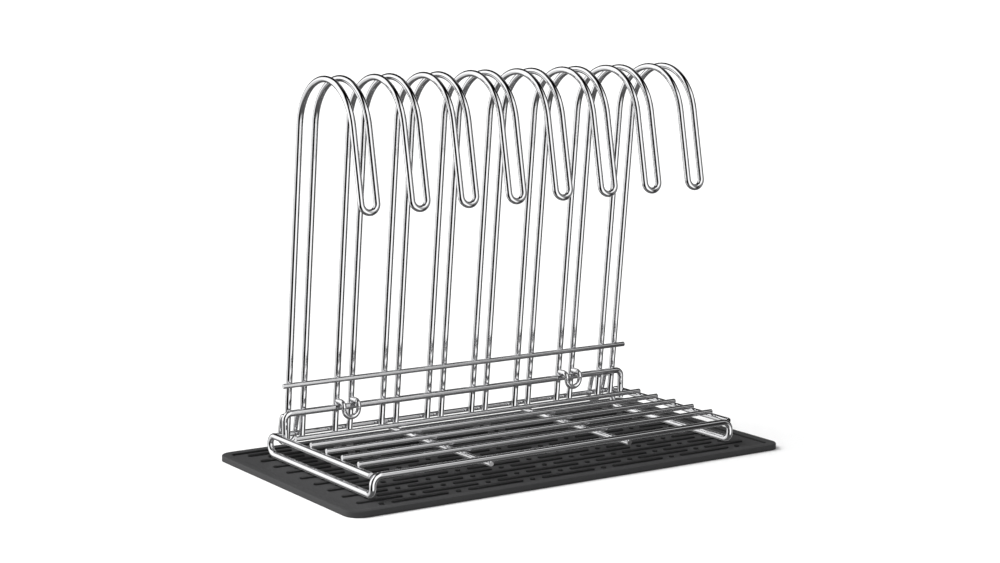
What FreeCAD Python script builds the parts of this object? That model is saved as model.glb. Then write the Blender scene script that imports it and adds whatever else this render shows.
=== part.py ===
import FreeCAD, Part
import math
import os

# Bag drying rack: a welded wire base with a lift-off row of hairpin hooks, standing on a drip mat.
# X runs along the row of hooks, Y from front to back, Z up from the underside of the mat.
# Every wire is given by its centre line. Lengths are millimetres, angles are degrees.

# Wire stock
heavy_d = 5.0
light_d = 4.0
weld_sink = 0.4
rest_gap = 0.1

# Hook rack
hook_count = 8
hook_pitch = 42.0
leg_spacing = 13.0
leg_lean = 6.64
leg_foot_z = 17.5
leg_rear_margin = 14.1
hook_top_z = 300.9
arch_r = 40.7
drop_lean = 11.0
tip_z = 205.9
hook_bar_z = 61.9
hook_bar_overhang = 14.0
clip_bend_r = 4.0
front_clip_place = 1
front_clip_clearance = 3.0
front_clip_straight = 1.3
rear_clip_place = 0
rear_clip_z = 35.4
rear_clip_lean = 16.0
rear_clip_gap = 1.6
rear_clip_bottom_z = 12.0

# Wire base
base_side_margin = 9.5
base_depth = 157.3
loop_height = 14.4
front_corner_r = 7.0
front_foot_r = 6.0
front_foot_run = 6.0
corner_weld_sink = 0.8
slat_count = 5
slat_front_margin = 22.0
slat_rear_margin = 22.8
slat_end_inset = 1.0
rod_x = 63.0
rod_front_overhang = 1.5
rod_rear_overhang = 4.0
rear_bar_clearance = 1.2
rail_z = 39.8
rail_inset = 4.0
rail_clearance = 0.3
rail_corner_r = 5.0
rail_foot_z = 16.5

# Drip mat
mat_side_margin = 31.7
mat_front_margin = 27.0
mat_rear_margin = 29.8
mat_corner_r = 12.0
mat_height = 4.5
mat_rim_width = 8.0
mat_rim_softening = 0.8
mat_floor = 2.9
rib_height = 1.2
rib_width = 4.2
rib_end_bevel = 1.2
rib_row_count = 18
rib_row_margin = 17.0
rib_end_margin = 18.5
rib_dash_length = 47.8
rib_period = 64.8
rib_shortest = 20.0

# Places that follow from the sizes above
heavy_r = heavy_d / 2
light_r = light_d / 2
half_spacing = leg_spacing / 2
hook_row_half = (hook_count - 1) / 2 * hook_pitch
base_half_width = hook_row_half + half_spacing + base_side_margin
mat_length = 2 * (base_half_width + mat_side_margin)
mat_depth = mat_front_margin + base_depth + mat_rear_margin
base_front_y = mat_front_margin - mat_depth / 2
base_rear_y = base_front_y + base_depth
leg_y_at_bar = base_rear_y - leg_rear_margin
rib_top_z = mat_floor + rib_height
rib_reach = mat_length / 2 - rib_end_margin
rib_row_reach = mat_depth / 2 - rib_row_margin
rib_row_pitch = 2 * rib_row_reach / (rib_row_count - 1)
runner_z = rib_top_z + rest_gap + heavy_r
runner_joint_y = base_front_y + front_foot_r + front_foot_run
top_z = runner_z + loop_height
slat_z = top_z + heavy_r + light_r - weld_sink
rod_z = top_z - heavy_r - light_r + weld_sink
rear_bar_z = rod_z + light_d - weld_sink


def vec(x, y, z):
    return FreeCAD.Vector(x, y, z)


def leg_y(z):
    """Centre line of a hook's legs, which lean forward as they rise."""
    return leg_y_at_bar - (z - hook_bar_z) * math.tan(math.radians(leg_lean))


rail_y = leg_y(rail_z) - heavy_d - rail_clearance
rear_bar_y = leg_y(rear_bar_z) + heavy_r + light_r + rear_bar_clearance
slat_first_y = rail_y - slat_rear_margin
slat_pitch = (slat_first_y - base_front_y - slat_front_margin) / (slat_count - 1)


def bent_wire(points, radii, diameter):
    """Round wire through corner points, with each inner corner bent to its own radius."""
    edges = []
    last = points[0]
    for before, corner, after, radius in zip(points, points[1:], points[2:], radii):
        arriving = (corner - before).normalize()
        leaving = (after - corner).normalize()
        half_turn = arriving.getAngle(leaving) / 2
        trim = radius * math.tan(half_turn)
        start = corner - arriving * trim
        end = corner + leaving * trim
        middle = corner + (leaving - arriving).normalize() * (radius / math.cos(half_turn) - radius)
        if last.distanceToPoint(start) > 1e-6:
            edges.append(Part.makeLine(last, start))
        edges.append(Part.Arc(start, middle, end).toShape())
        last = end
    if last.distanceToPoint(points[-1]) > 1e-6:
        edges.append(Part.makeLine(last, points[-1]))
    direction = points[1] - points[0]
    section = Part.Wire([Part.makeCircle(diameter / 2, points[0], direction)])
    return Part.Wire(edges).makePipeShell([section], True, True)


def straight_wire(start, end, diameter):
    return Part.makeCylinder(diameter / 2, start.distanceToPoint(end), start, end - start)


def seated(shape, carriers):
    """The wire with a seat cut where it settles into the wires that carry it."""
    for carrier in carriers:
        shape = shape.cut(carrier)
    return shape


def one_solid(shape):
    return max(shape.Solids, key=lambda solid: solid.Volume)


def rounded_plate(length, depth, corner_r, z_low, z_high):
    plate = Part.makeBox(length, depth, z_high - z_low, vec(-length / 2, -depth / 2, z_low))
    upright = [e for e in plate.Edges if abs(e.Vertexes[0].Z - e.Vertexes[-1].Z) > 1e-6]
    return plate.makeFillet(corner_r, upright)


def rib(x_low, x_high, y):
    """One raised rib of the mat, with bevelled ends. A rib as long as it is wide is an eight-sided dot."""
    z_root = mat_floor - rib_height / 2
    block = Part.makeBox(x_high - x_low, rib_width, rib_top_z - z_root, vec(x_low, y - rib_width / 2, z_root))
    upright = [e for e in block.Edges if abs(e.Vertexes[0].Z - e.Vertexes[-1].Z) > 1e-6]
    return block.makeChamfer(rib_end_bevel, upright)


def rib_pattern():
    """Rows of long dashes with a dot between them, each row half a period beside the last."""
    ribs = []
    reach_periods = int(rib_reach / rib_period) + 1
    for row in range(rib_row_count):
        y = row * rib_row_pitch - rib_row_reach
        shift = 0.5 * (row % 2)
        for period in range(-reach_periods, reach_periods + 1):
            dash = (period + shift) * rib_period
            dot = dash + rib_period / 2
            low = max(dash - rib_dash_length / 2, -rib_reach)
            high = min(dash + rib_dash_length / 2, rib_reach)
            if high - low > rib_shortest:
                ribs.append(rib(low, high, y))
            if abs(dot) + rib_width / 2 < rib_reach:
                ribs.append(rib(dot - rib_width / 2, dot + rib_width / 2, y))
    return ribs


def drip_mat():
    body = rounded_plate(mat_length, mat_depth, mat_corner_r, 0, mat_height)
    rim = [e for e in body.Edges if min(v.Z for v in e.Vertexes) > mat_height - 1e-6]
    body = body.makeFillet(mat_rim_softening, rim)
    inner_length = mat_length - 2 * mat_rim_width
    inner_depth = mat_depth - 2 * mat_rim_width
    inner_r = mat_corner_r - mat_rim_width
    body = body.cut(rounded_plate(inner_length, inner_depth, inner_r, mat_floor, mat_height + 1))
    return body.fuse(rib_pattern()).removeSplitter()


def mirrored(shape):
    """The same piece for the other side of the rack."""
    return shape.mirror(vec(0, 0, 0), vec(1, 0, 0))


def front_bar():
    """Front bar whose ends turn down as feet and then back to meet the side loops."""
    half = base_half_width
    points = [
        vec(-half, runner_joint_y, runner_z),
        vec(-half, base_front_y, runner_z),
        vec(-half, base_front_y, top_z),
        vec(half, base_front_y, top_z),
        vec(half, base_front_y, runner_z),
        vec(half, runner_joint_y, runner_z),
    ]
    return bent_wire(points, [front_foot_r, front_corner_r, front_corner_r, front_foot_r], heavy_d)


def left_side_loop(front):
    """Runner, half-round rear bend and top bar, whose front end is welded to the front bar's corner."""
    x = -base_half_width
    points = [
        vec(x, runner_joint_y, runner_z),
        vec(x, base_rear_y, runner_z),
        vec(x, base_rear_y, top_z),
        vec(x, base_front_y + heavy_r - corner_weld_sink, top_z),
    ]
    loop = bent_wire(points, [loop_height / 2, loop_height / 2], heavy_d)
    return one_solid(seated(loop, [front]))


def rear_bar(loops):
    """Rear bar between the two side loops, behind the feet of the hooks."""
    reach = base_half_width - heavy_r + weld_sink
    bar = straight_wire(vec(-reach, rear_bar_y, rear_bar_z), vec(reach, rear_bar_y, rear_bar_z), light_d)
    return one_solid(seated(bar, loops))


def slat(number, loops):
    y = slat_first_y - number * slat_pitch
    reach = base_half_width - slat_end_inset
    bar = straight_wire(vec(-reach, y, slat_z), vec(reach, y, slat_z), light_d)
    return one_solid(seated(bar, loops))


def cross_rod(side, carriers):
    """Rod from front to back, welded under the front bar and under the rear bar."""
    front = base_front_y - rod_front_overhang
    rear = rear_bar_y + rod_rear_overhang
    rod = straight_wire(vec(side * rod_x, front, rod_z), vec(side * rod_x, rear, rod_z), light_d)
    return one_solid(seated(rod, carriers))


def rear_rail(loops):
    """Raised rail in front of the hooks, its uprights welded inside the two side loops."""
    x = base_half_width - rail_inset
    points = [
        vec(-x, rail_y, rail_foot_z),
        vec(-x, rail_y, rail_z),
        vec(x, rail_y, rail_z),
        vec(x, rail_y, rail_foot_z),
    ]
    return one_solid(seated(bent_wire(points, [rail_corner_r, rail_corner_r], heavy_d), loops))


def hook_x(number):
    return hook_pitch * number - hook_row_half


def hook(number):
    """Hairpin hook: two legs, one wide arch over the top, and a drop that ends in a closed tip."""
    lean = math.radians(leg_lean)
    drop = math.radians(drop_lean)
    arch_z = hook_top_z - heavy_r - arch_r
    arch_y = leg_y_at_bar - (arch_r - (hook_bar_z - arch_z) * math.sin(lean)) / math.cos(lean)

    def drop_y(z):
        return arch_y + ((z - arch_z) * math.sin(drop) - arch_r) / math.cos(drop)

    # The arch is one bend, whose corner lies where the lines of the leg and of the drop cross.
    corner_z = arch_z + (leg_y(arch_z) - drop_y(arch_z)) / (math.tan(lean) + math.tan(drop))
    near = hook_x(number) - half_spacing
    far = hook_x(number) + half_spacing
    points = [
        vec(near, leg_y(leg_foot_z), leg_foot_z),
        vec(near, leg_y(corner_z), corner_z),
        vec(near, drop_y(tip_z), tip_z),
        vec(far, drop_y(tip_z), tip_z),
        vec(far, leg_y(corner_z), corner_z),
        vec(far, leg_y(leg_foot_z), leg_foot_z),
    ]
    return bent_wire(points, [arch_r, half_spacing, half_spacing, arch_r], heavy_d)


def hook_bar(hooks):
    """Bar welded across the front of all the legs."""
    y = leg_y(hook_bar_z) - heavy_r - light_r + weld_sink
    reach = hook_row_half + hook_bar_overhang
    bar = straight_wire(vec(-reach, y, hook_bar_z), vec(reach, y, hook_bar_z), light_d)
    return one_solid(seated(bar, hooks))


def clip(number, profile, radii, carrier):
    """Hairpin clip: both ends on the legs of one hook, the closed end hanging down."""
    near = hook_x(number) - half_spacing
    far = hook_x(number) + half_spacing
    points = [vec(near, y, z) for y, z in profile] + [vec(far, y, z) for y, z in reversed(profile)]
    shape = bent_wire(points, radii + [half_spacing, half_spacing] + radii[::-1], light_d)
    return one_solid(seated(shape, [carrier]))


def front_clip(number, carrier):
    """Clip that passes forward over the rail and hangs in front of it."""
    run_z = rail_z + heavy_r + light_r + rest_gap
    front_y = rail_y - heavy_r - light_r - front_clip_clearance
    bottom_z = run_z - clip_bend_r - front_clip_straight - half_spacing
    profile = [(leg_y(run_z) - heavy_r + weld_sink, run_z), (front_y, run_z), (front_y, bottom_z)]
    return clip(number, profile, [clip_bend_r], carrier)


def rear_clip(number, carrier):
    """Clip that leans out behind the rear bar, so that the bar sits between it and the legs."""
    lean = math.radians(rear_clip_lean)

    def clip_y(z):
        return rear_bar_y + (light_d + rear_clip_gap + (rear_bar_z - z) * math.sin(lean)) / math.cos(lean)

    start_y = leg_y(rear_clip_z) + heavy_r - weld_sink
    profile = [
        (start_y, rear_clip_z),
        (clip_y(rear_clip_z), rear_clip_z),
        (clip_y(rear_clip_bottom_z), rear_clip_bottom_z),
    ]
    return clip(number, profile, [clip_bend_r], carrier)


def build():
    parts = {"drip_mat": drip_mat()}
    front = front_bar()
    left_loop = left_side_loop(front)
    loops = [left_loop, mirrored(left_loop)]
    parts["front_bar"] = front
    parts["side_loop_left"], parts["side_loop_right"] = loops
    parts["rear_bar"] = rear_bar(loops)
    parts["rear_rail"] = rear_rail(loops)
    for number in range(slat_count):
        parts["slat_%d" % (number + 1)] = slat(number, loops)
    parts["cross_rod_left"] = cross_rod(-1, [front, parts["rear_bar"]])
    parts["cross_rod_right"] = cross_rod(1, [front, parts["rear_bar"]])
    hooks = [hook(number) for number in range(hook_count)]
    for number, shape in enumerate(hooks):
        parts["hook_%d" % (number + 1)] = shape
    parts["hook_bar"] = hook_bar(hooks)
    last = hook_count - 1
    left, right = front_clip_place, last - front_clip_place
    parts["front_clip_left"] = front_clip(left, hooks[left])
    parts["front_clip_right"] = front_clip(right, hooks[right])
    left, right = rear_clip_place, last - rear_clip_place
    parts["rear_clip_left"] = rear_clip(left, hooks[left])
    parts["rear_clip_right"] = rear_clip(right, hooks[right])
    return parts


if __name__ == "__main__":
    os.makedirs("parts", exist_ok=True)
    for name, shape in build().items():
        shape.exportStep("parts/%s.step" % name)
        print("%-18s %9.1f mm3, %d solid" % (name, shape.Volume, len(shape.Solids)))
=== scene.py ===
"""Dresses the bag drying rack: polished round wire, a ribbed drip mat and a plain pale studio."""

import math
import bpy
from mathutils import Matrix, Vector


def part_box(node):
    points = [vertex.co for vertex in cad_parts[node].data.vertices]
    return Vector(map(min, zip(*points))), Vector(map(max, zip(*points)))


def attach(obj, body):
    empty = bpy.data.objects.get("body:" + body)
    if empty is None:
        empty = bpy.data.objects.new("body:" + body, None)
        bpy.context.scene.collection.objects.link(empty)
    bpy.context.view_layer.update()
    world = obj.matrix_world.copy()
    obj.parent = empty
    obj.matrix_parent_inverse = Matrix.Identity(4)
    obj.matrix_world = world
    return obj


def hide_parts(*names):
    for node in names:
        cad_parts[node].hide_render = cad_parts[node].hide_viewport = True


bl_info = {
    "name": "Bag Drying Rack",
    "version": (1, 0, 0),
    "blender": (4, 5, 0),
    "location": "View3D > Sidebar > Drying Rack",
    "description": "Polished wire drying rack with a lift-off row of hooks, standing on a ribbed drip mat",
    "category": "Add Mesh",
}

import bmesh
import bpy
from bpy.props import FloatProperty, FloatVectorProperty, IntProperty, PointerProperty
from bpy.types import Operator, Panel, PropertyGroup
from mathutils import Matrix, Vector

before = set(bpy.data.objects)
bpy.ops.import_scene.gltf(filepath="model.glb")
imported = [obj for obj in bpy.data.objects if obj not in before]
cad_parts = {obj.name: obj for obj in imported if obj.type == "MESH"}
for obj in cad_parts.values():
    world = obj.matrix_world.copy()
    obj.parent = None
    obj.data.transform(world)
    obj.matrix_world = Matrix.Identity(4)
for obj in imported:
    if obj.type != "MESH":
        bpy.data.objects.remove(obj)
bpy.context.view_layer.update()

BODY = "root"
STEEL_SLOT = "polished_steel"
RUBBER_SLOT = "grey_rubber"
SIDES = ("left", "right")
HOOK_NODES = sorted(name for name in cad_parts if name.startswith("hook_") and name[5:].isdigit())
SLAT_NODES = sorted(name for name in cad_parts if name.startswith("slat_"))

SENSOR_WIDTH = 36
VIEW_NEAR, VIEW_FAR = 0.01, 200

# Steel: its darkest patches as a share of its colour, its least haze and the spread of its haze as shares of the
# haze setting, and the noise of each
STEEL_SHADE = 0.96
LEAST_HAZE, HAZE_SPREAD = 0.7, 0.6
STEEL_PATCHES = {"Scale": 45.0, "Detail": 2.0}
HAZE_PATCHES = {"Scale": 700.0, "Detail": 3.0}
POLISH_MARKS = {"Scale": 2600.0, "Detail": 1.0}
MARK_RELIEF = {"Strength": 0.04, "Distance": 0.0001}

# Rubber: its darkest and lightest patches as shares of its colour, how much rougher the grain makes it, how much
# smoother the ribs are, and the noise of each
RUBBER_SHADE, RUBBER_TINT = 0.9, 1.1
GRAIN_ROUGHNESS, RIB_POLISH = 0.1, 0.1
RUBBER_PATCHES = {"Scale": 18.0, "Detail": 3.0}
RUBBER_GRAIN = {"Scale": 1500.0, "Detail": 2.0}
GRAIN_RELIEF = {"Strength": 0.12, "Distance": 0.0002}
RUBBER_SPECULAR = 0.15
FLOOR_ROUGHNESS = 0.9

# The mat's corners, rim and ribs. RIB_ROOT, RIB_SOFTENING and the two heights between which the mat carries painted
# shade are shares of a rib's height, and PAST_MIDDLE of its radius.
CORNER_FACES = 12
SOFTENING_FACES = 3
RIB_SIDES = 16
SHARP_FROM = math.radians(40)
RIB_ROOT = 0.5
RIB_SOFTENING = 0.25
# Painted shade: between these two heights the ribs and the rim's inner wall take a darker colour that stands for
# their shading
PAINTED_SHADE_FROM, PAINTED_SHADE_TO = 0.1, 1.1
PAST_MIDDLE = 1.01

# A straight run that isn't longer than this many holding distances gets no holding rings
SHORT_RUN = 4
NO_LENGTH = 1e-7


class WireSettings(PropertyGroup):
    sides: IntProperty(name="Sides", description="Faces round each wire", default=32, min=8, max=64)
    bend_step: FloatProperty(
        name="Bend Step", description="Turn between two rings in a bend",
        default=math.radians(6), subtype="ANGLE", unit="ROTATION")
    end_softening: FloatProperty(
        name="End Softening", description="Rounding of the sawn wire ends",
        default=0.0003, subtype="DISTANCE", unit="LENGTH", precision=5)
    holding: FloatProperty(
        name="Holding Ring", description="Distance of the holding rings from the ends of a straight run",
        default=0.0005, subtype="DISTANCE", unit="LENGTH", precision=5)


class BaseSettings(PropertyGroup):
    front_corner: FloatProperty(
        name="Front Corner", description="Bend radius of the front bar's corners",
        default=0.007, subtype="DISTANCE", unit="LENGTH", precision=4)
    front_foot: FloatProperty(
        name="Front Foot", description="Bend radius where the front bar turns back along the mat",
        default=0.006, subtype="DISTANCE", unit="LENGTH", precision=4)
    rail_corner: FloatProperty(
        name="Rail Corner", description="Bend radius of the raised rail's corners",
        default=0.005, subtype="DISTANCE", unit="LENGTH", precision=4)


class HookSettings(PropertyGroup):
    arch_radius: FloatProperty(
        name="Arch Radius", description="Bend radius of the wide arch at the top of each hook",
        default=0.0407, subtype="DISTANCE", unit="LENGTH", precision=4)
    leg_lean: FloatProperty(
        name="Leg Lean", description="Forward lean of the legs",
        default=math.radians(6.64), subtype="ANGLE", unit="ROTATION")
    drop_lean: FloatProperty(
        name="Drop Lean", description="Lean of the part that hangs down at the front",
        default=math.radians(11), subtype="ANGLE", unit="ROTATION")
    clip_bend: FloatProperty(
        name="Clip Bend", description="Bend radius of the clips",
        default=0.004, subtype="DISTANCE", unit="LENGTH", precision=4)
    rear_clip_lean: FloatProperty(
        name="Rear Clip Lean", description="Backward lean of the two rear clips",
        default=math.radians(16), subtype="ANGLE", unit="ROTATION")


class MatSettings(PropertyGroup):
    corner: FloatProperty(
        name="Corner", description="Corner radius of the mat",
        default=0.012, subtype="DISTANCE", unit="LENGTH", precision=4)
    rim_width: FloatProperty(
        name="Rim Width", description="Width of the raised rim",
        default=0.008, subtype="DISTANCE", unit="LENGTH", precision=4)
    rim_softening: FloatProperty(
        name="Rim Softening", description="Rounding of the rim's edges",
        default=0.0008, subtype="DISTANCE", unit="LENGTH", precision=4)
    floor_height: FloatProperty(
        name="Floor Height", description="Height of the floor inside the rim",
        default=0.0029, subtype="DISTANCE", unit="LENGTH", precision=4)
    rib_height: FloatProperty(
        name="Rib Height", description="Height of the ribs above the floor",
        default=0.0012, subtype="DISTANCE", unit="LENGTH", precision=4)
    rib_width: FloatProperty(
        name="Rib Width", description="Width of the ribs, and size of the round dots",
        default=0.0042, subtype="DISTANCE", unit="LENGTH", precision=4)
    rows: IntProperty(name="Rows", description="Rows of ribs from front to back", default=18, min=2)
    row_margin: FloatProperty(
        name="Row Margin", description="Distance from the mat's front and back edges to the nearest rows",
        default=0.017, subtype="DISTANCE", unit="LENGTH", precision=4)
    end_margin: FloatProperty(
        name="End Margin", description="Distance from the mat's left and right edges to the ends of the rows",
        default=0.0185, subtype="DISTANCE", unit="LENGTH", precision=4)
    dash_length: FloatProperty(
        name="Dash Length", description="Length of the long ribs",
        default=0.0478, subtype="DISTANCE", unit="LENGTH", precision=4)
    period: FloatProperty(
        name="Period", description="Distance from one long rib to the next in its row",
        default=0.0648, subtype="DISTANCE", unit="LENGTH", precision=4)
    shortest: FloatProperty(
        name="Shortest", description="A rib that the edge leaves shorter than this is left out",
        default=0.02, subtype="DISTANCE", unit="LENGTH", precision=4)


class FinishSettings(PropertyGroup):
    steel: FloatVectorProperty(
        name="Steel", description="Colour of the polished steel",
        default=(0.70, 0.70, 0.71), size=3, min=0, max=1, subtype="COLOR")
    steel_haze: FloatProperty(
        name="Steel Haze", description="Roughness of the polish", default=0.05, min=0, max=1, subtype="FACTOR")
    rubber: FloatVectorProperty(
        name="Rubber", description="Colour of the drip mat",
        default=(0.046, 0.046, 0.047), size=3, min=0, max=1, subtype="COLOR")
    # Painted shade: how much darker the ribs and the rim's inner wall are coloured, standing for their shading
    painted_rib_shade: FloatProperty(
        name="Rib Shade", description="Darkness of the ribs, as a share of the mat's colour",
        default=0.3, min=0, max=1, subtype="FACTOR")
    rubber_roughness: FloatProperty(
        name="Rubber Roughness", description="Roughness of the drip mat",
        default=0.55, min=0, max=1, subtype="FACTOR")
    floor: FloatVectorProperty(
        name="Floor", description="Colour of the studio floor",
        default=(0.9, 0.9, 0.9), size=3, min=0, max=1, subtype="COLOR")


class StageSettings(PropertyGroup):
    camera_place: FloatVectorProperty(
        name="Camera Place", description="Where the camera stands",
        default=(-0.91186, -1.38749, 0.39873), size=3, subtype="TRANSLATION", unit="LENGTH")
    camera_target: FloatVectorProperty(
        name="Camera Target", description="The point that the camera looks at",
        default=(0.00244, 0.00692, 0.13561), size=3, subtype="TRANSLATION", unit="LENGTH")
    focal_length: FloatProperty(
        name="Focal Length", description="Focal length in millimetres on a 36 mm wide sensor",
        default=78.214, min=20, max=300)
    floor_size: FloatProperty(
        name="Floor Size", description="Width of the square floor",
        default=80, subtype="DISTANCE", unit="LENGTH")
    sky: FloatProperty(
        name="Sky", description="Strength of the light panels that the wire mirrors",
        default=1.34, min=0, max=20)
    room: FloatProperty(
        name="Room", description="Brightness of the dark room between the panels, as a share of a panel's",
        default=0.0, min=0, max=1, subtype="FACTOR")
    panel_blur: FloatProperty(
        name="Panel Blur", description="Softness of the panels' edges",
        default=math.radians(20), subtype="ANGLE", unit="ROTATION")
    fill: FloatProperty(
        name="Fill", description="Strength of the even light from all sides", default=0.5, min=0, max=20)
    backdrop: FloatProperty(
        name="Backdrop", description="How much brighter than the fill the backdrop looks",
        default=1.0, min=0, max=20)
    key: FloatProperty(
        name="Key", description="Strength of the soft light from behind on the left", default=4.2, min=0, max=20)
    key_place: FloatVectorProperty(
        name="Key Place", description="Direction from the rack towards the soft light from behind on the left",
        default=(-0.60, 0.50, 0.75), size=3, subtype="DIRECTION")
    key_size: FloatProperty(
        name="Key Size", description="Angle that the soft light takes up",
        default=math.radians(50), subtype="ANGLE", unit="ROTATION")


class Value:
    """A number that a socket carries, so that shader maths reads as plain arithmetic."""

    def __init__(self, finish, socket):
        self.finish = finish
        self.socket = socket

    def _math(self, operation, first, second):
        return self.finish.node("ShaderNodeMath", {"operation": operation}, {0: first, 1: second})

    def __add__(self, other):
        return self._math("ADD", self, other)

    def __radd__(self, other):
        return self._math("ADD", other, self)

    def __sub__(self, other):
        return self._math("SUBTRACT", self, other)

    def __rsub__(self, other):
        return self._math("SUBTRACT", other, self)

    def __mul__(self, other):
        return self._math("MULTIPLY", self, other)

    def __rmul__(self, other):
        return self._math("MULTIPLY", other, self)


class Finish:
    """A node tree under construction. Every node comes from one method."""

    def __init__(self, tree):
        self.tree = tree
        self.tree.nodes.clear()

    def node(self, kind, settings=None, inputs=None, output=0):
        made = self.tree.nodes.new(kind)
        for name, setting in (settings or {}).items():
            setattr(made, name, setting)
        for name, given in (inputs or {}).items():
            if isinstance(given, Value):
                self.tree.links.new(given.socket, made.inputs[name])
            else:
                made.inputs[name].default_value = given
        return Value(self, made.outputs[output]) if made.outputs else made

    def between(self, value, low, high):
        """1 where the value lies between two numbers, 0 elsewhere."""
        above = self.node("ShaderNodeMath", {"operation": "GREATER_THAN"}, {0: value, 1: low})
        below = self.node("ShaderNodeMath", {"operation": "LESS_THAN"}, {0: value, 1: high})
        return above * below


def new_material(name):
    material = bpy.data.materials.new(name)
    material.use_nodes = True
    return material, Finish(material.node_tree)


def shaded(colour, factor):
    """A darker or lighter colour of the same hue."""
    return tuple(channel * factor for channel in colour)


def polished_steel(finishes):
    """Bright polished wire with a faint haze and hair-fine polishing marks."""
    material, finish = new_material("polished_steel")
    place = finish.node("ShaderNodeTexCoord", output="Object")
    cloud = finish.node("ShaderNodeTexNoise", {}, {"Vector": place, **STEEL_PATCHES})
    haze = finish.node("ShaderNodeTexNoise", {}, {"Vector": place, **HAZE_PATCHES})
    marks = finish.node("ShaderNodeTexNoise", {}, {"Vector": place, **POLISH_MARKS})
    colour = finish.node("ShaderNodeMix", {"data_type": "RGBA"}, {
        0: cloud, 6: (*shaded(finishes.steel, STEEL_SHADE), 1.0), 7: (*finishes.steel, 1.0)}, output=2)
    bump = finish.node("ShaderNodeBump", {}, {"Height": marks, **MARK_RELIEF})
    roughness = finishes.steel_haze * LEAST_HAZE + haze * (finishes.steel_haze * HAZE_SPREAD)
    surface = finish.node("ShaderNodeBsdfPrincipled", {}, {
        "Base Color": colour, "Metallic": 1.0, "Roughness": roughness, "Normal": bump})
    finish.node("ShaderNodeOutputMaterial", {}, {"Surface": surface})
    return material


def polished_steel_of(context):
    """The one steel finish that all the wires share."""
    found = bpy.data.materials.get("polished_steel_finish")
    if found is None:
        found = polished_steel(context.scene.rack_finishes)
        found.name = "polished_steel_finish"
    return found


def grey_rubber(finishes, reach, low, high):
    """Matt moulded rubber with a fine grain and a slight unevenness of tone. Between two heights, and nearer to the
    middle than reach, it is smoother, and darker with painted shade: that takes in the ribs and the rim's inner
    wall."""
    material, finish = new_material("grey_rubber")
    place = finish.node("ShaderNodeTexCoord", output="Object")
    tone = finish.node("ShaderNodeTexNoise", {}, {"Vector": place, **RUBBER_PATCHES})
    grain = finish.node("ShaderNodeTexNoise", {}, {"Vector": place, **RUBBER_GRAIN})
    x, y, z = (finish.node("ShaderNodeSeparateXYZ", {}, {0: place}, output=axis) for axis in "XYZ")
    # Where the ribs and the rim's inner wall are: there the rubber is smoother, and its colour carries painted
    # shade
    rib_polish_and_painted_shade = finish.between(z, low, high) * finish.between(x, -reach.x, reach.x)
    rib_polish_and_painted_shade = rib_polish_and_painted_shade * finish.between(y, -reach.y, reach.y)
    plain = finish.node("ShaderNodeMix", {"data_type": "RGBA"}, {
        0: tone,
        6: (*shaded(finishes.rubber, RUBBER_SHADE), 1.0),
        7: (*shaded(finishes.rubber, RUBBER_TINT), 1.0)}, output=2)
    # Painted shade: the ribs and the rim's inner wall are coloured darker
    colour = finish.node("ShaderNodeMix", {"data_type": "RGBA"}, {
        0: rib_polish_and_painted_shade, 6: plain, 7: (*shaded(finishes.rubber, finishes.painted_rib_shade), 1.0)}, output=2)
    bump = finish.node("ShaderNodeBump", {}, {"Height": grain, **GRAIN_RELIEF})
    roughness = finishes.rubber_roughness + grain * GRAIN_ROUGHNESS - rib_polish_and_painted_shade * RIB_POLISH
    surface = finish.node("ShaderNodeBsdfPrincipled", {}, {
        "Base Color": colour, "Roughness": roughness, "Normal": bump, "Specular IOR Level": RUBBER_SPECULAR})
    finish.node("ShaderNodeOutputMaterial", {}, {"Surface": surface})
    return material


def studio_floor(finishes):
    """Plain pale floor without any gloss."""
    material, finish = new_material("studio_floor")
    surface = finish.node("ShaderNodeBsdfPrincipled", {}, {
        "Base Color": (*finishes.floor, 1.0), "Roughness": FLOOR_ROUGHNESS})
    finish.node("ShaderNodeOutputMaterial", {}, {"Surface": surface})
    return material


def finished_piece(bm, name, material, slot, *nodes):
    """Makes the bmesh an object that rides on the rack and stands for the CAD nodes."""
    mesh = bpy.data.meshes.new(name)
    bm.to_mesh(mesh)
    bm.free()
    piece = bpy.data.objects.new(name, mesh)
    bpy.context.scene.collection.objects.link(piece)
    mesh.materials.append(material)
    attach(piece, BODY)
    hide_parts(*nodes)
    return piece


def run_on(bm, ring, move, holding):
    """Draws the wire's open ring of edges along a straight run, with a holding ring near each end of a long one,
    so that the shading of a bend or of a sawn end doesn't creep along the wire."""
    if move.length < NO_LENGTH:
        return ring
    shares = [1.0]
    if move.length > SHORT_RUN * holding:
        near = holding / move.length
        shares = [near, 1 - 2 * near, near]
    for share in shares:
        drawn = bmesh.ops.extrude_edge_only(bm, edges=ring)["geom"]
        bmesh.ops.translate(bm, vec=move * share, verts=[v for v in drawn if isinstance(v, bmesh.types.BMVert)])
        ring = [e for e in drawn if isinstance(e, bmesh.types.BMEdge)]
    return ring


def bend_on(bm, ring, centre, axis, turn, bend_step):
    """Turns the wire's open ring round a bend."""
    corners = list(dict.fromkeys(v for e in ring for v in e.verts))
    spun = bmesh.ops.spin(
        bm, geom=corners + ring, cent=centre, axis=axis, dvec=Vector(), angle=turn, space=Matrix(),
        steps=max(2, math.ceil(turn / bend_step)), use_merge=False, use_normal_flip=False, use_duplicate=False)
    return [e for e in spun["geom_last"] if isinstance(e, bmesh.types.BMEdge)]


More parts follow.
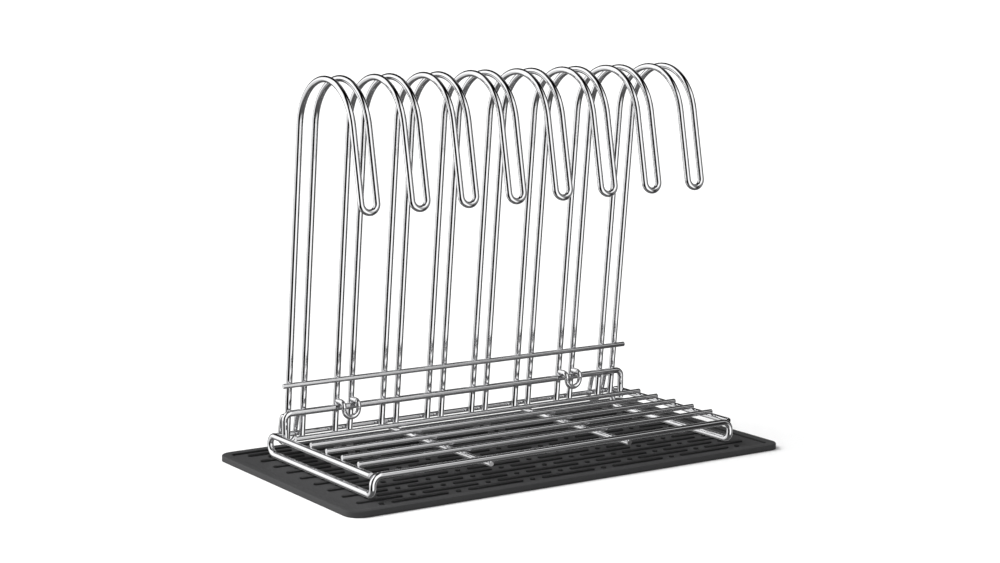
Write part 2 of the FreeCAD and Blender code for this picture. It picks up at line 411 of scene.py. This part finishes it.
def wire(points, radii, diameter, wires, softened=(True, True)):
    """A bmesh of one round wire through corner points, each inner corner bent to its own radius.
    softened says of its first and last end whether the sawn edge is rounded: a welded end's isn't."""
    bm = bmesh.new()
    heading = (points[1] - points[0]).normalized()
    place = Matrix.Translation(points[0]) @ heading.to_track_quat("Z", "Y").to_matrix().to_4x4()
    first = bmesh.ops.create_circle(bm, cap_ends=True, segments=wires.sides, radius=diameter / 2, matrix=place)
    ring = list(dict.fromkeys(e for v in first["verts"] for e in v.link_edges))
    caps = [ring[0].link_faces[0]]
    here = points[0]
    for before, corner, after, radius in zip(points, points[1:], points[2:], radii):
        arriving = (corner - before).normalized()
        leaving = (after - corner).normalized()
        turn = arriving.angle(leaving)
        trim = radius * math.tan(turn / 2)
        ring = run_on(bm, ring, corner - arriving * trim - here, wires.holding)
        centre = corner + (leaving - arriving).normalized() * (radius / math.cos(turn / 2))
        ring = bend_on(bm, ring, centre, arriving.cross(leaving), turn, wires.bend_step)
        here = corner + leaving * trim
    ring = run_on(bm, ring, points[-1] - here, wires.holding)
    caps.append(bmesh.ops.contextual_create(bm, geom=ring)["faces"][0])
    bmesh.ops.recalc_face_normals(bm, faces=bm.faces)
    for face in bm.faces:
        face.smooth = True
    rims = [e for cap, soft in zip(caps, softened) if soft for e in cap.edges]
    bmesh.ops.bevel(
        bm, geom=rims, offset=wires.end_softening, offset_type="OFFSET", segments=2, profile=0.5,
        affect="EDGES", material=-1, clamp_overlap=True)
    for face in bm.faces:
        if len(face.verts) > 4:
            face.smooth = False
            for edge in face.edges:
                edge.smooth = False
    return bm


def straight_wire(node, axis, wires, material):
    """A straight wire along one axis of the row, as long and as thick as its CAD node."""
    low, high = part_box(node)
    start = (low + high) / 2
    end = start.copy()
    start[axis], end[axis] = low[axis], high[axis]
    bm = wire([start, end], [], high.z - low.z, wires)
    return finished_piece(bm, node + "_wire", material, STEEL_SLOT, node)


def wire_thickness(node, axis=0):
    """Diameter of a bent wire that lies flat in one plane, from its node's thinnest side."""
    low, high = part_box(node)
    return high[axis] - low[axis]


def hairpin(near_x, far_x, profile):
    """Points down one side of a hairpin and back up the other."""
    return [Vector((near_x, y, z)) for y, z in profile] + [Vector((far_x, y, z)) for y, z in reversed(profile)]


class RACK_OT_side_loops(Operator):
    """Make the front bar and the two side loops of the wire base"""
    bl_idname = "rack.side_loops"
    bl_label = "Front Bar and Side Loops"

    def execute(self, context):
        wires, base = context.scene.rack_wires, context.scene.rack_base
        steel = polished_steel_of(context)
        thick = wire_thickness("side_loop_left")
        radius = thick / 2
        low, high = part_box("front_bar")
        left, right = low.x + radius, high.x - radius
        front, joint = low.y + radius, high.y
        runner, top = low.z + radius, high.z - radius
        points = [
            Vector((left, joint, runner)), Vector((left, front, runner)), Vector((left, front, top)),
            Vector((right, front, top)), Vector((right, front, runner)), Vector((right, joint, runner)),
        ]
        radii = [base.front_foot, base.front_corner, base.front_corner, base.front_foot]
        bm = wire(points, radii, thick, wires, softened=(False, False))
        finished_piece(bm, "front_bar_wire", steel, STEEL_SLOT, "front_bar")
        for side in SIDES:
            node = "side_loop_" + side
            low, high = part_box(node)
            x = (low.x + high.x) / 2
            rear = high.y - radius
            points = [
                Vector((x, joint, runner)), Vector((x, rear, runner)), Vector((x, rear, top)),
                Vector((x, low.y, top)),
            ]
            half_round = (top - runner) / 2
            bm = wire(points, [half_round, half_round], thick, wires, softened=(False, True))
            finished_piece(bm, node + "_wire", steel, STEEL_SLOT, node)
        return {"FINISHED"}


class RACK_OT_bars(Operator):
    """Make the straight wires: slats, rear bar, cross rods and the bar across the hooks"""
    bl_idname = "rack.bars"
    bl_label = "Slats, Bars and Rods"

    def execute(self, context):
        wires, steel = context.scene.rack_wires, polished_steel_of(context)
        for node in SLAT_NODES + ["rear_bar", "hook_bar"]:
            straight_wire(node, 0, wires, steel)
        for side in SIDES:
            straight_wire("cross_rod_" + side, 1, wires, steel)
        return {"FINISHED"}


class RACK_OT_rear_rail(Operator):
    """Make the raised rail that the hook rack hangs behind"""
    bl_idname = "rack.rear_rail"
    bl_label = "Rear Rail"

    def execute(self, context):
        wires, base = context.scene.rack_wires, context.scene.rack_base
        low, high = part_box("rear_rail")
        radius = wire_thickness("side_loop_left") / 2
        y = (low.y + high.y) / 2
        left, right, top = low.x + radius, high.x - radius, high.z - radius
        points = [
            Vector((left, y, low.z)), Vector((left, y, top)), Vector((right, y, top)), Vector((right, y, low.z)),
        ]
        bm = wire(points, [base.rail_corner, base.rail_corner], 2 * radius, wires)
        finished_piece(bm, "rear_rail_wire", polished_steel_of(context), STEEL_SLOT, "rear_rail")
        return {"FINISHED"}


class RACK_OT_hooks(Operator):
    """Make the hairpin hooks"""
    bl_idname = "rack.hooks"
    bl_label = "Hooks"

    def execute(self, context):
        wires, hooks = context.scene.rack_wires, context.scene.rack_hooks
        steel = polished_steel_of(context)
        radius = wire_thickness("side_loop_left") / 2
        lean, drop, arch = hooks.leg_lean, hooks.drop_lean, hooks.arch_radius
        for node in HOOK_NODES:
            low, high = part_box(node)
            near, far = low.x + radius, high.x - radius
            half_spacing = (far - near) / 2
            foot_y = high.y - radius * math.cos(lean)
            foot_z = low.z + radius * math.sin(lean)
            arch_z = high.z - radius - arch
            arch_y = foot_y - (arch - (foot_z - arch_z) * math.sin(lean)) / math.cos(lean)
            drop_y = arch_y - arch / math.cos(drop)
            tip_y = low.y + radius
            tip_z = arch_z + (tip_y - drop_y) / math.tan(drop)
            leg_y = foot_y - (arch_z - foot_z) * math.tan(lean)
            rise = (leg_y - drop_y) / (math.tan(lean) + math.tan(drop))
            profile = [(foot_y, foot_z), (leg_y - rise * math.tan(lean), arch_z + rise), (tip_y, tip_z)]
            bm = wire(hairpin(near, far, profile), [arch, half_spacing, half_spacing, arch], 2 * radius, wires)
            finished_piece(bm, node + "_wire", steel, STEEL_SLOT, node)
        return {"FINISHED"}


class RACK_OT_clips(Operator):
    """Make the clips that hold the hook rack on the base"""
    bl_idname = "rack.clips"
    bl_label = "Clips"

    def execute(self, context):
        wires, hooks = context.scene.rack_wires, context.scene.rack_hooks
        steel = polished_steel_of(context)
        radius = wire_thickness("rear_bar", 2) / 2
        for side in SIDES:
            node = "front_clip_" + side
            low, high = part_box(node)
            start_z, front_y = high.z - radius, low.y + radius
            profile = [(high.y, start_z), (front_y, start_z), (front_y, low.z + radius)]
            self.make(node, low, high, radius, profile, hooks.clip_bend, wires, steel)
            node = "rear_clip_" + side
            low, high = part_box(node)
            bottom_y, bottom_z, start_z = high.y - radius, low.z + radius, high.z - radius
            bend_y = bottom_y - (start_z - bottom_z) * math.tan(hooks.rear_clip_lean)
            profile = [(low.y, start_z), (bend_y, start_z), (bottom_y, bottom_z)]
            self.make(node, low, high, radius, profile, hooks.clip_bend, wires, steel)
        return {"FINISHED"}

    @staticmethod
    def make(node, low, high, radius, profile, bend, wires, steel):
        near, far = low.x + radius, high.x - radius
        half_spacing = (far - near) / 2
        bm = wire(hairpin(near, far, profile), [bend, half_spacing, half_spacing, bend], 2 * radius, wires)
        finished_piece(bm, node + "_wire", steel, STEEL_SLOT, node)


class RACK_OT_mat(Operator):
    """Make the ribbed drip mat"""
    bl_idname = "rack.mat"
    bl_label = "Drip Mat"

    def execute(self, context):
        mat = context.scene.rack_mat
        low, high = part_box("drip_mat")
        size = high - low
        bm = bmesh.new()
        self.tray(bm, mat, (low + high) / 2, size)
        self.ribs(bm, mat, size)
        bmesh.ops.recalc_face_normals(bm, faces=bm.faces)
        for face in bm.faces:
            face.smooth = len(face.verts) == 4
        for edge in bm.edges:
            edge.smooth = edge.calc_face_angle(0) < SHARP_FROM
        reach = size / 2 - Vector((mat.rim_width, mat.rim_width, 0)) / 2
        # Painted shade: the heights between which the ribs and the rim's inner wall are coloured darker
        painted_shade_from = mat.floor_height + PAINTED_SHADE_FROM * mat.rib_height
        painted_shade_to = mat.floor_height + PAINTED_SHADE_TO * mat.rib_height
        rubber = grey_rubber(context.scene.rack_finishes, reach, painted_shade_from, painted_shade_to)
        mat_piece = finished_piece(bm, "drip_mat_rubber", rubber, RUBBER_SLOT, "drip_mat")
        # The wires mirror the light panels and one another, and not the mat
        mat_piece.visible_glossy = False
        return {"FINISHED"}

    @staticmethod
    def tray(bm, mat, middle, size):
        """The mat without its ribs: a slab with round corners, sunk inside its softened rim."""
        place = Matrix.Translation(middle) @ Matrix.Diagonal((*size, 1.0))
        bmesh.ops.create_cube(bm, size=1.0, matrix=place)
        upright = [e for e in bm.edges if abs(e.verts[0].co.z - e.verts[1].co.z) > size.z / 2]
        bmesh.ops.bevel(
            bm, geom=upright, offset=mat.corner, offset_type="OFFSET", segments=CORNER_FACES, profile=0.5,
            affect="EDGES", material=-1)
        top = max(bm.faces, key=lambda face: face.calc_center_median().z)
        outer_rim = list(top.edges)
        bmesh.ops.inset_region(bm, faces=[top], thickness=mat.rim_width, use_even_offset=True)
        inner_rim = list(top.edges)
        sunk = bmesh.ops.extrude_face_region(bm, geom=[top])["geom"]
        corners = [v for v in sunk if isinstance(v, bmesh.types.BMVert)]
        bmesh.ops.translate(bm, vec=Vector((0, 0, mat.floor_height - size.z)), verts=corners)
        bmesh.ops.delete(bm, geom=[top], context="FACES_ONLY")
        soft = [e for e in outer_rim + inner_rim if e.is_valid]
        bmesh.ops.bevel(
            bm, geom=soft, offset=mat.rim_softening, offset_type="OFFSET", segments=SOFTENING_FACES,
            profile=0.5, affect="EDGES", material=-1)

    def ribs(self, bm, mat, size):
        """Rows of long dashes with a round dot between them, each row half a period beside the last."""
        reach = size.x / 2 - mat.end_margin
        row_reach = size.y / 2 - mat.row_margin
        periods = int(reach / mat.period) + 1
        for row in range(mat.rows):
            y = row * 2 * row_reach / (mat.rows - 1) - row_reach
            shift = 0.5 * (row % 2)
            for period in range(-periods, periods + 1):
                dash = (period + shift) * mat.period
                dot = dash + mat.period / 2
                low = max(dash - mat.dash_length / 2, -reach)
                high = min(dash + mat.dash_length / 2, reach)
                if high - low > mat.shortest:
                    self.rib(bm, mat, low, high, y)
                if abs(dot) + mat.rib_width / 2 < reach:
                    self.rib(bm, mat, dot - mat.rib_width / 2, dot + mat.rib_width / 2, y)

    @staticmethod
    def rib(bm, mat, x_low, x_high, y):
        """One rib with round ends: a disc drawn out to its length, raised, with a softened top edge. It is rooted
        below the mat's floor."""
        radius = mat.rib_width / 2
        root = mat.floor_height - RIB_ROOT * mat.rib_height
        place = Matrix.Translation((x_low + radius, y, root))
        disc = bmesh.ops.create_circle(bm, cap_ends=True, segments=RIB_SIDES, radius=radius, matrix=place)
        face = disc["verts"][0].link_faces[0]
        stretch = Vector((x_high - x_low - mat.rib_width, 0, 0))
        far_side = [v for v in disc["verts"] if v.co.x > x_low + radius * PAST_MIDDLE]
        bmesh.ops.translate(bm, vec=stretch, verts=far_side)
        raised = bmesh.ops.extrude_face_region(bm, geom=[face])["geom"]
        corners = [v for v in raised if isinstance(v, bmesh.types.BMVert)]
        bmesh.ops.translate(bm, vec=Vector((0, 0, (1 + RIB_ROOT) * mat.rib_height)), verts=corners)
        crest = next(f for f in raised if isinstance(f, bmesh.types.BMFace))
        bmesh.ops.bevel(
            bm, geom=list(crest.edges), offset=RIB_SOFTENING * mat.rib_height, offset_type="OFFSET",
            segments=2, profile=0.5, affect="EDGES", material=-1)


# Panels of light in a dark room, as the polished wire sees them. Each row gives the bearings and the heights that
# the panel spans, in degrees, and its brightness. A later row lies over the earlier ones. Bearings count from the
# side where the camera stands, and grow to the right in the picture.
LIGHT_PANELS = (
    (122, 200, -40, -2, 0.46),
    (148, 176, -2, 18, 0.45),
    (80, 92, -14, 42, 0.55),
    (144, 173, 18, 62, 0.13),
    (-180, 180, -100, -32, 0.09),
    (-126, -72, -43, -6, 0.70),
    (-133, -55, -10, 63, 1.18),
    (5, 63, -36, 56, 1.16),
    (54, 84, 34, 66, 1.1),
)
FULL_TURN = 360


def soft_step(sky, angle, edge, blur):
    """Rises from 0 to 1 as an angle passes an edge in degrees."""
    return sky.node("ShaderNodeMapRange", {"interpolation_type": "SMOOTHSTEP"}, {
        "Value": angle, "From Min": math.radians(edge) - blur / 2, "From Max": math.radians(edge) + blur / 2})


def panel_mask(sky, ahead, aside, height, panel, blur):
    """1 inside a panel, 0 outside it. Bearings are measured from the panel's own middle, so that none is cut."""
    left, right, low, high = panel
    middle = math.radians((left + right) / 2)
    across = aside * math.cos(middle) - ahead * math.sin(middle)
    along = ahead * math.cos(middle) + aside * math.sin(middle)
    bearing = sky.node("ShaderNodeMath", {"operation": "ARCTAN2"}, {0: across, 1: along})
    off_middle = sky.node("ShaderNodeMath", {"operation": "ABSOLUTE"}, {0: bearing})
    rise = soft_step(sky, height, low, blur) - soft_step(sky, height, high, blur)
    if right - left >= FULL_TURN:
        return rise
    return rise * (1 - soft_step(sky, off_middle, (right - left) / 2, blur))


class RACK_OT_stage(Operator):
    """Set up the pale floor, the soft light and the camera"""
    bl_idname = "rack.stage"
    bl_label = "Stage"

    def execute(self, context):
        stage, finishes = context.scene.rack_stage, context.scene.rack_finishes
        bm = bmesh.new()
        bmesh.ops.create_grid(bm, x_segments=1, y_segments=1, size=stage.floor_size / 2)
        mesh = bpy.data.meshes.new("studio_floor")
        bm.to_mesh(mesh)
        bm.free()
        floor = bpy.data.objects.new("studio_floor", mesh)
        mesh.materials.append(studio_floor(finishes))
        context.scene.collection.objects.link(floor)
        floor.visible_glossy = False
        self.panels(context.scene, stage)
        self.key(context.scene, stage)
        self.camera(context.scene, stage)
        return {"FINISHED"}

    @staticmethod
    def panels(scene, stage):
        """The surroundings: light panels for the rays that the wires mirror, even light for all others."""
        world = bpy.data.worlds.new("studio")
        world.use_nodes = True
        scene.world = world
        scene.view_settings.view_transform = "Standard"
        sky = Finish(world.node_tree)
        towards = sky.node("ShaderNodeTexCoord", output="Generated")
        x, y, z = (sky.node("ShaderNodeSeparateXYZ", {}, {0: towards}, output=axis) for axis in "XYZ")
        to_camera = Vector(stage.camera_place) - Vector(stage.camera_target)
        to_camera.z = 0
        to_camera.normalize()
        ahead = x * to_camera.x + y * to_camera.y
        aside = x * -to_camera.y + y * to_camera.x
        height = sky.node("ShaderNodeMath", {"operation": "ARCSINE"}, {0: z})
        room = sky.node("ShaderNodeValue")
        room.socket.default_value = stage.room
        for *panel, brightness in LIGHT_PANELS:
            mask = panel_mask(sky, ahead, aside, height, panel, stage.panel_blur)
            room = room + mask * (brightness - room)
        mirrored = sky.node("ShaderNodeLightPath", output="Is Glossy Ray")
        seen = sky.node("ShaderNodeLightPath", output="Is Camera Ray")
        strength = mirrored * (stage.sky * room) + (1 - mirrored) * (stage.fill + seen * stage.backdrop)
        glow = sky.node("ShaderNodeBackground", {}, {"Color": (1, 1, 1, 1), "Strength": strength})
        sky.node("ShaderNodeOutputWorld", {}, {"Surface": glow})

    @staticmethod
    def key(scene, stage):
        """A soft lamp for the mat and the floor. The wires don't mirror it."""
        lamp = bpy.data.lights.new("key", "SUN")
        lamp.energy = stage.key
        lamp.angle = stage.key_size
        key = bpy.data.objects.new("key", lamp)
        scene.collection.objects.link(key)
        key.rotation_mode = "QUATERNION"
        key.rotation_quaternion = Vector(stage.key_place).to_track_quat("Z", "Y")
        key.visible_glossy = False

    @staticmethod
    def camera(scene, stage):
        camera = bpy.data.objects.new("camera", bpy.data.cameras.new("camera"))
        scene.collection.objects.link(camera)
        place, target = Vector(stage.camera_place), Vector(stage.camera_target)
        camera.location = place
        camera.rotation_mode = "QUATERNION"
        camera.rotation_quaternion = (target - place).to_track_quat("-Z", "Y")
        camera.data.sensor_width = SENSOR_WIDTH
        camera.data.lens = stage.focal_length
        camera.data.clip_start, camera.data.clip_end = VIEW_NEAR, VIEW_FAR
        scene.camera = camera


class RACK_PT_panel(Panel):
    """Lists the settings and the steps that make the drying rack"""
    bl_idname = "RACK_PT_panel"
    bl_label = "Bag Drying Rack"
    bl_space_type = "VIEW_3D"
    bl_region_type = "UI"
    bl_category = "Drying Rack"

    def draw(self, context):
        for name, group in SETTINGS:
            box = self.layout.box()
            for prop in group.__annotations__:
                box.prop(getattr(context.scene, name), prop)
        for step in STEPS:
            self.layout.operator(step.bl_idname)


SETTINGS = (
    ("rack_wires", WireSettings),
    ("rack_base", BaseSettings),
    ("rack_hooks", HookSettings),
    ("rack_mat", MatSettings),
    ("rack_finishes", FinishSettings),
    ("rack_stage", StageSettings),
)
STEPS = (
    RACK_OT_side_loops, RACK_OT_bars, RACK_OT_rear_rail, RACK_OT_hooks, RACK_OT_clips, RACK_OT_mat, RACK_OT_stage,
)
CLASSES = tuple(group for _, group in SETTINGS) + STEPS + (RACK_PT_panel,)


def register():
    for cls in CLASSES:
        bpy.utils.register_class(cls)
    for name, group in SETTINGS:
        setattr(bpy.types.Scene, name, PointerProperty(type=group))


def unregister():
    for name, _ in SETTINGS:
        delattr(bpy.types.Scene, name)
    for cls in reversed(CLASSES):
        bpy.utils.unregister_class(cls)


def main():
    register()
    for step in STEPS:
        category, name = step.bl_idname.split(".")
        getattr(getattr(bpy.ops, category), name)()


if __name__ == "__main__":
    main()
